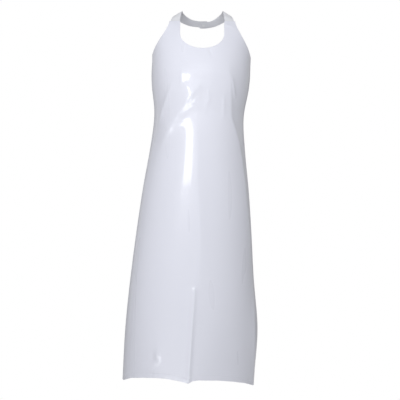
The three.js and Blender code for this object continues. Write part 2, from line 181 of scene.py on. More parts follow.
def worn_normals(s, heights):
    """Outward normals of the worn sheet, before its folds."""
    step = 0.002
    across = worn(s + step, heights) - worn(s - step, heights)
    up = worn(s, heights + step) - worn(s, heights - step)
    normals = np.cross(across, up)
    return normals / np.linalg.norm(normals, axis=-1, keepdims=True)


def outer_cut(height):
    """Arc length from the centre front to the sheet's outer edge."""
    if height <= armhole_height:
        return mix(hem_half_cut, tie_half_cut, max(height, 0) / armhole_height)
    if height <= bib_height:
        up = (height - armhole_height) / (bib_height - armhole_height)
        return mix(tie_half_cut, bib_half_cut, 1 - (1 - up) ** 2)
    left = (tab_height - height) / (tab_height - bib_height)
    return mix(tab_outer_cut, bib_half_cut, max(left, 0) ** shoulder_hollow)


def inner_cut(height):
    """Arc length from the centre front to the edge of the neck scoop, 0 below it."""
    up = min(1, max(0, (height - neck_height) / neck_scoop_height))
    return neck_half_cut * math.sqrt(1 - (1 - up) ** 2)


def upright_fold(s, height, path, soft=0.004):
    """Ridge or valley that runs up the sheet. The path holds (height, s, rise, left spread, right spread)."""
    table = np.array(sorted(path))
    middle, rise, left, right = (np.interp(height, table[:, 0], table[:, k]) for k in (1, 2, 3, 4))
    away = s - middle
    spread = np.where(away < 0, left, right)
    return rise * np.exp(-(np.sqrt(away**2 + soft**2) - soft) / spread)


def slanted_fold(s, height, start, end, rise, low_spread, high_spread, soft=0.006):
    """Ridge or valley from one (s, height) to another, fading at both ends, with a spread on each side."""
    run = np.array(end) - np.array(start)
    length = np.hypot(*run)
    along = ((s - start[0]) * run[0] + (height - start[1]) * run[1]) / length**2
    across = ((s - start[0]) * run[1] - (height - start[1]) * run[0]) / length
    fade = np.clip(np.minimum(along, 1 - along) / 0.35, 0, 1)
    fade = fade * fade * (3 - 2 * fade)
    spread = np.where(across < 0, low_spread, high_spread)
    return rise * fade * np.exp(-(np.sqrt(across**2 + soft**2) - soft) / spread)


def groove(distance, depth, half_width):
    """Pressed line, at a given distance from its middle."""
    return -depth * np.exp(-((distance / half_width) ** 4))


def swell(s, height, middle, size, rise):
    """Soft round swelling of the sheet about an (s, height)."""
    return rise * np.exp(-(((s - middle[0]) / size[0]) ** 2) - ((height - middle[1]) / size[1]) ** 2)


def folds(s, height):
    """How far the folds, creases and weld lines stand off the body's form at each point of the sheet."""
    # it hangs straight down from the chest instead of following the waist
    below_chest = np.interp(height, [0.30, 0.60, 0.80, 0.88, 0.94, 1.00], [0, 0.004, 0.008, 0.008, 0.0045, 0])
    lift = below_chest * np.exp(-((np.abs(s) / 0.13) ** 4))
    # the packing crease down the middle, in an upper and a lower length
    lift += upright_fold(s, height, [
        (0.280, 0.0240, 0.0010, 0.045, 0.035),
        (0.452, 0.0220, 0.0050, 0.045, 0.035),
        (0.564, 0.0135, 0.0060, 0.045, 0.035),
        (0.650, 0.0040, 0.0055, 0.045, 0.035),
        (0.800, -0.003, 0.0040, 0.045, 0.035),
        (0.860, -0.005, 0.0020, 0.040, 0.030),
        (0.960, 0.0000, 0.0000, 0.030, 0.030),
    ], soft=0.0015)
    lift += upright_fold(s, height, [
        (0.000, 0.0045, 0.0090, 0.075, 0.060),
        (0.025, 0.0043, 0.0090, 0.075, 0.060),
        (0.197, 0.0084, 0.0070, 0.075, 0.060),
        (0.288, 0.0116, 0.0040, 0.070, 0.060),
        (0.400, 0.0160, 0.0000, 0.070, 0.060),
    ])
    lift += upright_fold(s, height, [
        (0.000, 0.0045, 0.0045, 0.012, 0.005),
        (0.180, 0.0080, 0.0045, 0.012, 0.005),
        (0.290, 0.0116, 0.0030, 0.010, 0.004),
        (0.305, 0.0120, 0.0000, 0.010, 0.004),
    ], soft=0.0008)
    # the side turns back sharply along a line from under the arm to the hip
    lift += upright_fold(s, height, [
        (0.380, 0.225, 0.0000, 0.050, 0.012),
        (0.444, 0.214, 0.0020, 0.050, 0.012),
        (0.577, 0.186, 0.0040, 0.050, 0.012),
        (0.709, 0.159, 0.0055, 0.045, 0.012),
        (0.775, 0.137, 0.0060, 0.040, 0.013),
        (0.846, 0.104, 0.0050, 0.035, 0.014),
        (0.978, 0.096, 0.0030, 0.030, 0.014),
        (1.030, 0.090, 0.0000, 0.030, 0.014),
    ], soft=0.003)
    # drape from the chest to the hip, and the small pleats under the chest
    lift += slanted_fold(s, height, (-0.135, 0.730), (0.014, 0.975), 0.0085, 0.050, 0.012)
    lift += slanted_fold(s, height, (-0.145, 0.800), (-0.086, 0.965), 0.0030, 0.010, 0.012, soft=0.002)
    for start, end, rise in (
        ((-0.061, 0.940), (-0.061, 1.000), 0.0012),
        ((0.027, 0.875), (0.028, 0.940), 0.0012),
        ((0.019, 0.845), (0.021, 0.905), 0.0010),
        ((0.077, 0.830), (0.075, 0.930), 0.0016),
        ((0.120, 0.900), (0.100, 0.990), 0.0020),
    ):
        lift += slanted_fold(s, height, start, end, rise, 0.005, 0.006, soft=0.0015)
    # the free edge swells towards the hem, with a curl, and one dent pushed out low on the other side
    lift += swell(s, height, (0.275, 0.170), (0.045, 0.110), 0.009)
    lift += upright_fold(s, height, [
        (0.020, 0.250, 0.0040, 0.018, 0.020),
        (0.200, 0.236, 0.0040, 0.018, 0.020),
        (0.340, 0.236, 0.0000, 0.018, 0.020),
    ])
    lift += swell(s, height, (-0.100, 0.075), (0.010, 0.022), 0.0030)
    # nicks at the neckline and wrinkles where the strap pulls on a tab
    lift += slanted_fold(s, height, (0.022, 1.067), (0.034, 1.036), -0.0016, 0.004, 0.004, soft=0.001)
    lift += slanted_fold(s, height, (0.070, 1.143), (0.110, 1.152), 0.0011, 0.003, 0.004, soft=0.001)
    lift += slanted_fold(s, height, (0.070, 1.152), (0.112, 1.136), 0.0009, 0.003, 0.003, soft=0.001)
    # the weld line along the hem
    lift += groove(height - hem_turn + 0.001, depth=0.0003, half_width=0.0009)
    return lift


def film_sheet(name, points):
    """A mesh from a grid of points, one face for each cell."""
    rows, columns = points.shape[:2]
    ids = np.arange(rows * columns).reshape(rows, columns)
    faces = np.stack([ids[:-1, :-1], ids[:-1, 1:], ids[1:, 1:], ids[1:, :-1]], -1).reshape(-1, 4)
    mesh = bpy.data.meshes.new(name)
    mesh.from_pydata(points.reshape(-1, 3).tolist(), [], faces.tolist())
    mesh.shade_smooth()
    piece = bpy.data.objects.new(name, mesh)
    bpy.context.scene.collection.objects.link(piece)
    return piece


def face_outward(mesh, weld=0):
    """All faces turned outward, after points closer than the weld distance are made one."""
    shape = bmesh.new()
    shape.from_mesh(mesh)
    if weld:
        bmesh.ops.remove_doubles(shape, verts=shape.verts, dist=weld)
    bmesh.ops.recalc_face_normals(shape, faces=shape.faces)
    shape.to_mesh(mesh)
    shape.free()


def joined(name, parts):
    """Several meshes as one."""
    with bpy.context.temp_override(active_object=parts[0], selected_editable_objects=parts):
        bpy.ops.object.join()
    whole = parts[0]
    whole.name = name
    face_outward(whole.data, weld=1e-6)
    return whole


def thickened(piece):
    """The sheet with the film's real thickness, as a closed body."""
    shell = piece.modifiers.new("thickness", "SOLIDIFY")
    shell.thickness = film
    shell.offset = 0.0
    shell.use_even_offset = False
    with bpy.context.temp_override(object=piece):
        bpy.ops.object.modifier_apply(modifier=shell.name)
    return piece


def panel_heights():
    """Rows of the sheet above the hem, closer together round the neck scoop."""
    scoop_top = neck_height + neck_scoop_height
    scoop = [scoop_top - neck_scoop_height * math.cos(a) for a in np.linspace(0, math.pi / 2, 24)]
    hem = np.linspace(0, 2 * hem_turn, 40)[:-1]
    skirt = np.linspace(2 * hem_turn, armhole_height, 210)[:-1]
    armhole = np.linspace(armhole_height, neck_height, 70)[:-1]
    return np.concatenate([hem, skirt, armhole, scoop, np.linspace(scoop_top, tab_height, 40)[1:]])


def panel_half(side):
    """The sheet from its centre line to one edge, with its hem turned up inside."""
    heights = panel_heights()
    turn_radius = film * 0.9
    turn_angles = np.linspace(math.pi, 0, 7)[:-1]
    turned_up = np.linspace(hem_turn, 0, 6)[:-1]
    rows = np.concatenate([turned_up, -turn_radius * np.sin(turn_angles), heights])
    turn_depth = turn_radius * (1 - np.cos(turn_angles))
    depth = np.concatenate([np.full(len(turned_up), 2 * turn_radius), turn_depth, np.zeros(len(heights))])
    share = np.linspace(0, 1, 101)
    s = np.array([side * mix(inner_cut(h), outer_cut(h), share) for h in rows])
    height = np.repeat(rows[:, None], s.shape[1], 1)
    lift = folds(s, height) - depth[:, None]
    points = worn(s, rows) + worn_normals(s, rows) * lift[..., None]
    if side < 0:
        points = points[:, ::-1]
    return film_sheet("half", points)


def new_material(name):
    """A material with its nodes, its links and its shader."""
    material = bpy.data.materials.new(name)
    material.use_nodes = True
    nodes = material.node_tree.nodes
    return material, nodes, material.node_tree.links, nodes["Principled BSDF"]


def set_inputs(node, **values):
    """A node's inputs, set by name with _ for a space."""
    for name, value in values.items():
        node.inputs[name.replace("_", " ")].default_value = value


def add_node(nodes, kind, **values):
    node = nodes.new("ShaderNode" + kind)
    set_inputs(node, **values)
    return node


def add_ramp(nodes, low, high, start=0.0, end=1.0):
    """A ramp between two colours."""
    ramp = add_node(nodes, "ValToRGB")
    for element, position, colour in zip(ramp.color_ramp.elements, (start, end), (low, high)):
        element.position = position
        element.color = (*colour, 1)
    return ramp


def wire(links, *wires):
    """Links from one node's output to another's input."""
    for source, output, target, entry in wires:
        links.new(source.outputs[output], target.inputs[entry])


def film_material(name, tint, cloud, roughness, coat):
    """Cast plastic film: a smooth glossy skin, drawn lengthwise, over a slightly uneven, faintly blue white."""
    material, nodes, links, shader = new_material(name)
    place = add_node(nodes, "TexCoord")
    drawn = add_node(nodes, "Mapping", Scale=(1.0, 1.0, 0.10))
    cloudy = add_node(nodes, "TexNoise", Scale=5.0, Detail=1.0)
    grain = add_node(nodes, "TexNoise", Scale=900.0, Detail=2.0)
    ripple = add_node(nodes, "TexNoise", Scale=30.0, Detail=0.0)
    colours = add_ramp(nodes, cloud, tint, 0.35, 0.65)
    rough = add_node(nodes, "MapRange", To_Min=roughness * 0.95, To_Max=roughness * 1.05)
    fine = add_node(nodes, "Bump", Strength=0.15, Distance=0.0001)
    broad = add_node(nodes, "Bump", Strength=0.15, Distance=0.0004)
    wire(links,
         (place, "Object", drawn, "Vector"),
         (place, "Object", grain, "Vector"),
         (drawn, "Vector", cloudy, "Vector"),
         (drawn, "Vector", ripple, "Vector"),
         (cloudy, "Fac", colours, "Fac"),
         (colours, "Color", shader, "Base Color"),
         (ripple, "Fac", rough, "Value"),
         (rough, "Result", shader, "Roughness"),
         (ripple, "Fac", broad, "Height"),
         (grain, "Fac", fine, "Height"),
         (broad, "Normal", fine, "Normal"),
         (fine, "Normal", shader, "Normal"))
    set_inputs(shader, IOR=1.5, Coat_Weight=coat, Coat_Roughness=0.06)
    return material


white_film = film_material("white_film", (0.806, 0.808, 0.878), (0.798, 0.800, 0.870), 0.28, 0.5)
panel = thickened(joined("panel", [panel_half(-1), panel_half(1)]))
panel.data.materials.append(white_film)
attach(panel, "apron")
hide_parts("apron_panel")

# ---------------------------------------------------------------- Shoulder patches
# A patch of the same film is welded inside each tab, over the end of the neck strap, to spread its pull.
# Its corners are rounded, and it follows the step down from the strap to the panel.
strap_half = 0.0005
layer_gap = 0.0002
edge_gap = 0.001
strap_depth = film / 2 + strap_half + layer_gap
patch_depth = strap_depth + strap_half + film / 2 + layer_gap
patch_rest = film + 0.00015
patch_corner = 0.006
patch_step = 0.004
patch_margin = 0.008
strap_lap = 0.038
neck_strap_width = 0.031
lap_inset = 0.002


def on_panel(s, height, depth):
    """Points inside the panel, at a depth behind the film's middle; s is a grid and height a list of rows."""
    s, height = np.asarray(s, float), np.asarray(height, float)
    lift = folds(s, np.repeat(height[:, None], s.shape[1], 1)) - depth
    return worn(s, height) + worn_normals(s, height) * lift[..., None]


def smooth_step(x):
    """Eases from 0 to 1."""
    x = np.clip(x, 0, 1)
    return x * x * (3 - 2 * x)


def patch(name, node, side, edges, over):
    """A patch between edges (s0, s1, low, high), raised where it lies over the strap's end."""
    s0, s1, low, high = edges
    rows = np.linspace(low, high, 40)
    corner = np.minimum(rows - low, high - rows).clip(0, patch_corner)
    cut_back = patch_corner - np.sqrt(patch_corner**2 - (patch_corner - corner) ** 2)
    share = np.linspace(0, 1, 40)
    s = np.array([(s0 + c) + (s1 - s0 - 2 * c) * share for c in cut_back])
    height = np.repeat(rows[:, None], s.shape[1], 1)
    beyond = np.maximum.reduce([over[0] - s, s - over[1], over[2] - height, height - over[3], 0 * s])
    depth = patch_depth + (patch_rest - patch_depth) * smooth_step(beyond / patch_step)
    points = on_panel(side * s, rows, depth)
    if side < 0:
        points = points[:, ::-1]
    piece = thickened(film_sheet(name, points))
    piece.data.materials.append(patch_film)
    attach(piece, "apron")
    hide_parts(node)


patch_film = film_material("patch_film", (0.80, 0.807, 0.84), (0.785, 0.792, 0.828), 0.34, 0.3)
tab_edges = (neck_half_cut + edge_gap, tab_outer_cut - edge_gap,
             tab_height - strap_lap - patch_margin, tab_height - edge_gap)
strap_inner_cut = neck_half_cut + lap_inset
tab_strap = (strap_inner_cut, strap_inner_cut + neck_strap_width, tab_height - strap_lap, math.inf)
for node, side in (("left_shoulder_patch", -1), ("right_shoulder_patch", 1)):
    patch(node.replace("patch", "film"), node, side, tab_edges, tab_strap)

# ---------------------------------------------------------------- Neck straps
# Two strips of thicker film run from the tabs over the shoulders and lap at the nape, where they snap together.
# Each strip is doubled over and welded along both edges. The left one is long.
nape_lean = math.radians(60)
nape_across = np.array((0, math.sin(nape_lean), -math.cos(nape_lean)))
nape_out = np.array((0, math.cos(nape_lean), math.sin(nape_lean)))
nape_edge = np.array((0, 0.070 + shoulder_front, -0.023))
nape_flat = 0.012
collar_rise = 0.016
collar_half = 0.067
brow_rise = 0.0045
neck_fold = 0.79
cap_hole = 0.0021
stud_hole = 0.0013
stud_stack = 0.0053
stud_x = 0.004
strap_end = 0.014
strap_corner = 0.005
sealed_edge = 0.0004


class Route:
    """Smooth curve through points, evenly paced between them however far apart they lie."""

    def __init__(self, points):
        self.points = [np.asarray(p, float) for p in points]
        self.points.insert(0, 2 * self.points[0] - self.points[1])
        self.points.append(2 * self.points[-1] - self.points[-2])

    def at(self, u):
        spans = len(self.points) - 3
        t = min(max(u, 0), 1) * spans
        i = min(int(t), spans - 1)
        t -= i
        p0, p1, p2, p3 = self.points[i:i + 4]
        d0, d1, d2 = (math.sqrt(np.linalg.norm(b - a)) for a, b in ((p0, p1), (p1, p2), (p2, p3)))
        m1 = ((p1 - p0) / d0 - (p2 - p0) / (d0 + d1) + (p2 - p1) / d1) * d1
        m2 = ((p2 - p1) / d1 - (p3 - p1) / (d1 + d2) + (p3 - p2) / d2) * d1
        return ((2 * t**3 - 3 * t**2 + 1) * p1 + (t**3 - 2 * t**2 + t) * m1
                + (3 * t**2 - 2 * t**3) * p2 + (t**3 - t**2) * m2)

    def length(self):
        points = [self.at(k / 200) for k in range(201)]
        return sum(float(np.linalg.norm(b - a)) for a, b in zip(points, points[1:]))


def collar_point(side, outward, lift, turn):
    """Point of a strap's edge behind the neck: 0 on the shoulder line, 1 where it runs straight."""
    level = math.sqrt(neck_strap_width**2 - collar_rise**2)
    nape = nape_edge + nape_across * neck_strap_width * outward + nape_out * lift * turn
    cosine, sine = math.cos(turn * math.pi / 2), math.sin(turn * math.pi / 2)
    x = mix(nape_flat, collar_half + level * outward, cosine)
    y = mix(0.0, nape[1], sine)
    return np.array((side * x, y, mix(nape[2], -collar_rise * outward, max(cosine, 0) ** 1.6)))


def shoulder_edge(side, outward, lift):
    """One edge of a neck strap, from its end inside the tab to where it runs straight at the nape."""
    s = side * (strap_inner_cut + neck_strap_width * outward)
    under = [on_panel([[s]], [h], strap_depth)[0, 0]
             for h in (tab_height - strap_lap, tab_height - strap_lap / 2, tab_height - edge_gap)]
    peak = collar_point(side, outward, lift, 0)
    brow = (under[2] + peak) / 2 + np.array((0, 0, brow_rise))
    return Route([*under, brow, peak, *(collar_point(side, outward, lift, k / 4) for k in range(1, 5))])


def strap_surface(edges, inward):
    """Point at u along and v across a strap between two edge routes; it runs straight beyond u of 1."""
    run = edges[0].length()

    def surface(u, v):
        point = mix(edges[0].at(u), edges[1].at(u), v)
        return point + inward * max(0, u - 1) * run

    return surface, run


# each half of the strap's width, from its edge: where it thins for the weld line and the sealed edge
edge_shape = [(0, 0.25), (0.012, 0.50), (0.03, 0.62), (0.06, 0.66), (0.085, 0.66), (0.10, 0.40), (0.115, 0.66),
              (0.14, 1), (0.3, 1)]
strap_shape = np.array(edge_shape + [(0.5, 1)] + [(1 - v, thick) for v, thick in edge_shape[::-1]])


def strap(name, surface, run, end):
    """Flat strip with thin welded edges and a rounded free end, as a closed body."""
    near = np.array([0, sealed_edge, 0.001, 0.002, 0.0035, strap_corner]) / run
    count = max(8, int(end * run / 0.002))
    step_u, step_v = 0.001 / run, 0.02
    tops, bottoms = [], []
    for u in np.unique(np.concatenate([np.linspace(0, end, count), near, end - near])):
        back = (end - u) * run
        short = max(0, strap_corner - back)
        inset = strap_corner - math.sqrt(max(0, strap_corner**2 - short**2))
        width = float(np.linalg.norm(surface(u, 1) - surface(u, 0)))
        top, bottom = [], []
        for v, thick in strap_shape:
            half = strap_half * (thick if back >= sealed_edge else min(thick, 0.5))
            across = 0.5 + (v - 0.5) * (1 - 2 * inset / width)
            along = surface(u + step_u, across) - surface(u - step_u, across)
            over = surface(u, across + step_v) - surface(u, across - step_v)
            normal = np.cross(along, over)
            normal = normal / np.linalg.norm(normal)
            middle = surface(u, across)
            top.append(middle + normal * half)
            bottom.append(middle - normal * half)
        tops.append(top)
        bottoms.append(bottom)
    return closed_strip(name, np.array(tops), np.array(bottoms))


def closed_strip(name, top, bottom):
    """A closed body between two grids of points, with one ring of faces round their rim."""
    rows, columns = top.shape[:2]
    count = rows * columns
    ids = np.arange(count).reshape(rows, columns)
    cells = np.stack([ids[:-1, :-1], ids[:-1, 1:], ids[1:, 1:], ids[1:, :-1]], -1).reshape(-1, 4)
    rim = [*ids[0, :-1], *ids[:-1, -1], *ids[-1, :0:-1], *ids[:0:-1, 0]]
    faces = cells[:, ::-1].tolist() + (cells + count).tolist()
    faces += [[int(a), int(b), int(b) + count, int(a) + count] for a, b in zip(rim, rim[1:] + rim[:1])]
    mesh = bpy.data.meshes.new(name)
    mesh.from_pydata(np.concatenate([top.reshape(-1, 3), bottom.reshape(-1, 3)]).tolist(), [], faces)
    face_outward(mesh)
    mesh.shade_smooth()
    piece = bpy.data.objects.new(name, mesh)
    bpy.context.scene.collection.objects.link(piece)
    return piece


def turned(name, profile, place, count=48):
    """A turned piece about the local Z axis from a closed profile of (radius, height)."""
    points, faces, rings = [], [], []
    for radius, height in profile:
        if radius == 0:
            rings.append([len(points)] * count)
            points.append((0, 0, height))
            continue
        rings.append(list(range(len(points), len(points) + count)))
        round_angles = [2 * math.pi * k / count for k in range(count)]
        points += [(radius * math.cos(a), radius * math.sin(a), height) for a in round_angles]
    closed = profile[0][0] > 0
    pairs = list(zip(rings, rings[1:])) + ([(rings[-1], rings[0])] if closed else [])
    for lower, upper in pairs:
        for k in range(count):
            n = (k + 1) % count
            corners = [lower[k], lower[n], upper[n], upper[k]]
            face = [c for i, c in enumerate(corners) if c not in corners[:i]]
            if len(face) > 2:
                faces.append(face)
    mesh = bpy.data.meshes.new(name)
    mesh.from_pydata(points, [], faces)
    face_outward(mesh)
    mesh.transform(place)
    mesh.shade_smooth()
    mesh.set_sharp_from_angle(angle=math.radians(50))
    piece = bpy.data.objects.new(name, mesh)
    bpy.context.scene.collection.objects.link(piece)
    return piece


def drill_holes(piece, radius, places):
    """Cuts a round hole through the piece at each place."""
    reach = 0.004
    for place in places:
        drill = turned("drill", [(0, -reach), (radius, -reach), (radius, reach), (0, reach)], place, 32)
        hole = piece.modifiers.new("hole", "BOOLEAN")
        hole.operation = "DIFFERENCE"
        hole.solver = "EXACT"
        hole.object = drill
        with bpy.context.temp_override(object=piece):
            bpy.ops.object.modifier_apply(modifier=hole.name)
        bpy.data.objects.remove(drill)
    piece.data.set_sharp_from_angle(angle=math.radians(50))


def strap_material(name, tint, shade):
    """Embossed vinyl strip: a satin face with a close linen grain, a little greyer than the panel."""
    material, nodes, links, shader = new_material(name)
    place = add_node(nodes, "TexCoord")
    cloudy = add_node(nodes, "TexNoise", Scale=30.0)
    linen = add_node(nodes, "TexVoronoi", Scale=1100.0)
    colours = add_ramp(nodes, shade, tint, 0.35, 0.65)
    rough = add_node(nodes, "MapRange", To_Min=0.36, To_Max=0.48)
    bump = add_node(nodes, "Bump", Strength=0.35, Distance=0.0001)
    wire(links,
         (place, "Object", cloudy, "Vector"),
         (place, "Object", linen, "Vector"),
         (cloudy, "Fac", colours, "Fac"),
         (colours, "Color", shader, "Base Color"),
         (cloudy, "Fac", rough, "Value"),
         (rough, "Result", shader, "Roughness"),
         (linen, "Distance", bump, "Height"),
         (bump, "Normal", shader, "Normal"))
    return material


def stud_place(across, out, middle):
    """Where a stud stands: its local X along the strap and its local Z out of it."""
    place = np.eye(4)
    place[:3, :3] = np.column_stack([across, np.cross(out, across), out])
    place[:3, 3] = middle
    return Matrix(place.tolist())


def neck_place(lift):
    middle = nape_edge + nape_across * neck_strap_width / 2 + nape_out * lift
    middle[0] = stud_x
    return stud_place((1, 0, 0), nape_out, middle)


strap_film = strap_material("strap_film", (0.80, 0.80, 0.82), (0.76, 0.76, 0.785))
left_edges = [shoulder_edge(-1, outward, stud_stack) for outward in (0, 1)]
left_surface, left_run = strap_surface(left_edges, np.array((1.0, 0, 0)))
right_edges = [shoulder_edge(1, outward, 0) for outward in (0, 1)]
right_surface, right_run = strap_surface(right_edges, np.array((-1.0, 0, 0)))
left_end = 1 + (nape_flat + stud_x + strap_end) / left_run
right_end = 1 + (nape_flat - stud_x + strap_end) / right_run
long_strap = strap("long_neck_strap", left_surface, left_run, left_end)
drill_holes(long_strap, cap_hole, [neck_place(stud_stack)])
long_strap.data.materials.append(strap_film)
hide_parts("neck_strap_anchor", "neck_strap_bend", "neck_strap")
neck_hinge = left_surface(neck_fold, 0.5)
hinge_run = left_surface(neck_fold + 0.01, 0.5) - left_surface(neck_fold - 0.01, 0.5)
hinge_run = hinge_run / np.linalg.norm(hinge_run)
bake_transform(long_strap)

short_strap = strap("short_neck_strap", right_surface, right_run, right_end)
drill_holes(short_strap, stud_hole, [neck_place(0)])
short_strap.data.materials.append(strap_film)
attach(short_strap, "apron")
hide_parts("neck_stud_strap")

# ---------------------------------------------------------------- Neck press stud
# A moulded acetal press stud in four parts: a cap and a socket riveted to the long strap, and a stud and a
# post riveted to the short one. The nipple of the stud snaps into the socket.
gap = 0.0003
flange = 0.0008
nipple_rise = 0.0017
cap_radius = 0.0065
cap_rise = 0.0016
socket_radius = 0.0056
socket_rise = 0.0026
socket_bore = 0.0024
stud_radius = 0.0054
stud_bore = 0.0013
nipple_radius = 0.0021
post_radius = 0.0050
pin_radius = 0.0010
rivet_radius = 0.0018


def rounded(radius, low, high, edge, count=4):
    """Profile points round the outer rim of a disc, from its lower face to its upper face."""
    lower = [(radius - edge + edge * math.sin(a), low + edge - edge * math.cos(a))
             for a in np.linspace(0, math.pi / 2, count)]
    upper = [(radius - edge + edge * math.cos(a), high - edge + edge * math.sin(a))
             for a in np.linspace(0, math.pi / 2, count)]
    return lower + upper


def finish_stud(piece, node, body):
    """A press stud's part gets its plastic, rides on a body and stands for its node."""
    piece.data.materials.append(acetal)
    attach(piece, body)
    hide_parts(node)


def cap(name, node, place, body):
    """Domed cap with a dimple, whose rivet goes down through the strap into the socket."""
    seat = strap_half + gap
    rivet_end = strap_half + flange + nipple_rise + 2 * gap - stud_stack
    dome = [(cap_radius * math.cos(a), seat + cap_rise * (0.4 + 0.6 * math.sin(a)))
            for a in np.linspace(0.1, math.pi / 2 * 0.93, 12)]
    dimple = [(0.0009, seat + 0.00150), (0.0005, seat + 0.00138), (0, seat + 0.00135)]
    profile = [(0, rivet_end), (rivet_radius - 0.0002, rivet_end), (rivet_radius, rivet_end + 0.0002),
               (rivet_radius, seat), (cap_radius - 0.0002, seat), (cap_radius, seat + 0.0002), *dome, *dimple]
    finish_stud(turned(name, profile, place), node, body)


def socket(name, node, place, body):
    """Ring under the strap that the nipple snaps into."""
    top = -strap_half - gap
    low = top - socket_rise
    profile = [(socket_bore, low + 0.0002), (socket_bore + 0.0002, low),
               *rounded(socket_radius, low, top, 0.0004), (socket_bore, top)]
    finish_stud(turned(name, profile, place), node, body)


def stud(name, node, place, body):
    """Flange on the strap with the waisted nipple that snaps into the socket."""
    seat = strap_half + gap
    neck = seat + flange
    top = neck + nipple_rise
    profile = [(stud_bore, seat), *rounded(stud_radius, seat, neck, 0.0003),
               (nipple_radius + 0.0001, neck), (nipple_radius - 0.00015, neck + 0.0002),
               (nipple_radius - 0.00015, neck + 0.0007), (nipple_radius, top - 0.0004),
               (nipple_radius - 0.00005, top - 0.0002), (nipple_radius - 0.0003, top), (stud_bore, top)]
    finish_stud(turned(name, profile, place), node, body)


def post(name, node, place, body):
    """Disc under the strap with the pin that holds the stud."""
    seat = -strap_half - gap
    pin_top = strap_half + flange + nipple_rise
    profile = [(0, seat - flange), *rounded(post_radius, seat - flange, seat, 0.0003),
               (pin_radius, seat), (pin_radius, pin_top - 0.0001), (pin_radius - 0.0001, pin_top), (0, pin_top)]
    finish_stud(turned(name, profile, place), node, body)


def acetal_material():
    """Moulded acetal: milky white, satin, with faint mould grain."""
    material, nodes, links, shader = new_material("moulded_acetal")
    place = add_node(nodes, "TexCoord")
    grain = add_node(nodes, "TexNoise", Scale=700.0)
    colours = add_ramp(nodes, (0.80, 0.80, 0.80), (0.86, 0.86, 0.855))
    bump = add_node(nodes, "Bump", Strength=0.2, Distance=0.00005)
    wire(links,
         (place, "Object", grain, "Vector"),
         (grain, "Fac", colours, "Fac"),
         (colours, "Color", shader, "Base Color"),
         (grain, "Fac", bump, "Height"),
         (bump, "Normal", shader, "Normal"))
    set_inputs(shader, Roughness=0.38)
    return material


acetal = acetal_material()
cap("neck_cap", "neck_snap_cap", neck_place(stud_stack), "neck_strap_end")
socket("neck_socket", "neck_snap_socket", neck_place(stud_stack), "neck_strap_end")
stud("neck_nipple", "neck_stud", neck_place(0), "apron")
post("neck_post", "neck_stud_post", neck_place(0), "apron")

# ---------------------------------------------------------------- Waist patches
# The same kind of patch is welded inside each back corner of the panel, over the end of a waist strap.
waist_strap_width = 0.030
tie_cut = outer_cut(tie_height)
strap_rises = (-waist_strap_width / 2, waist_strap_width / 2)
patch_rise = waist_strap_width / 2 + 0.75 * patch_margin
corner_edges = (tie_cut - strap_lap - patch_margin, tie_cut - 2 * edge_gap,
                tie_height - patch_rise, tie_height + patch_rise)
corner_strap = (tie_cut - strap_lap, math.inf, tie_height + strap_rises[0], tie_height + strap_rises[1])
for node, side in (("left_waist_patch", -1), ("right_waist_patch", 1)):
    patch(node.replace("patch", "film"), node, side, corner_edges, corner_strap)

# ---------------------------------------------------------------- Waist straps
# Two strips of the same doubled film close behind the waist. The left one carries a row of three studs, and
# the right one a cap and socket, so the waist can be let out.
waist_back = back_depth - 0.004
waist_flat = 0.058
waist_tilt = math.atan(lean(tie_height))
waist_x = np.array((math.cos(waist_tilt), 0, -math.sin(waist_tilt)))
waist_z = np.array((math.sin(waist_tilt), 0, math.cos(waist_tilt)))
waist_middle = np.array((sway(tie_height), shoulder_front, tie_height - shoulder_height))
waist_out = np.array((0, 1.0, 0))
waist_ease = 0.014
waist_sink = 0.0015
stud_pitch = 0.025


def waist_point(x, y, z):
    """Point in the waist's own slanted frame, behind the wearer."""
    return waist_middle + waist_x * x + waist_out * y + waist_z * z


def waist_edge(side, rise, lift):
    """One edge of a waist strap, from its end inside the panel to where it runs straight."""
    under = [on_panel([[side * s]], [tie_height + rise], strap_depth)[0, 0]
             for s in (tie_cut - strap_lap, tie_cut - strap_lap / 2, tie_cut - edge_gap)]
    return Route([*under, waist_point(side * (waist_flat + waist_ease), waist_back + lift - waist_sink, rise),
                  waist_point(side * waist_flat, waist_back + lift, rise)])


def waist_place(x, lift):
    return stud_place(waist_x, waist_out, waist_point(x, waist_back + lift, 0))


right_waist_edges = [waist_edge(1, rise, stud_stack) for rise in strap_rises]
right_waist, right_waist_run = strap_surface(right_waist_edges, -waist_x)
left_waist_edges = [waist_edge(-1, rise, 0) for rise in strap_rises]
left_waist, left_waist_run = strap_surface(left_waist_edges, waist_x)
right_waist_end = 1 + (waist_flat + strap_end) / right_waist_run
left_waist_end = 1 + (waist_flat + strap_end) / left_waist_run
cap_strap = strap("cap_waist_strap", right_waist, right_waist_run, right_waist_end)
drill_holes(cap_strap, cap_hole, [waist_place(0, stud_stack)])
cap_strap.data.materials.append(strap_film)
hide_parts("waist_strap_anchor", "waist_strap_bend", "waist_strap")
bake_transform(cap_strap)

stud_places = [waist_place(-stud_pitch * i, 0) for i in range(3)]
stud_strap = strap("stud_waist_strap", left_waist, left_waist_run, left_waist_end)
drill_holes(stud_strap, stud_hole, stud_places)
stud_strap.data.materials.append(strap_film)
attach(stud_strap, "apron")
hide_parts("left_waist_strap")

# ---------------------------------------------------------------- Waist press studs
# The same moulded press stud. One cap and socket ride the right strap; three studs with their posts stand
# 25 mm apart on the left strap, and the first is in use.
cap("waist_cap", "waist_snap_cap", waist_place(0, stud_stack), "waist_strap_end")
socket("waist_socket", "waist_snap_socket", waist_place(0, stud_stack), "waist_strap_end")
for number, place in enumerate(stud_places, 1):
    stud(f"waist_nipple_{number}", f"waist_stud_{number}", place, "apron")
    post(f"waist_post_{number}", f"waist_stud_post_{number}", place, "apron")

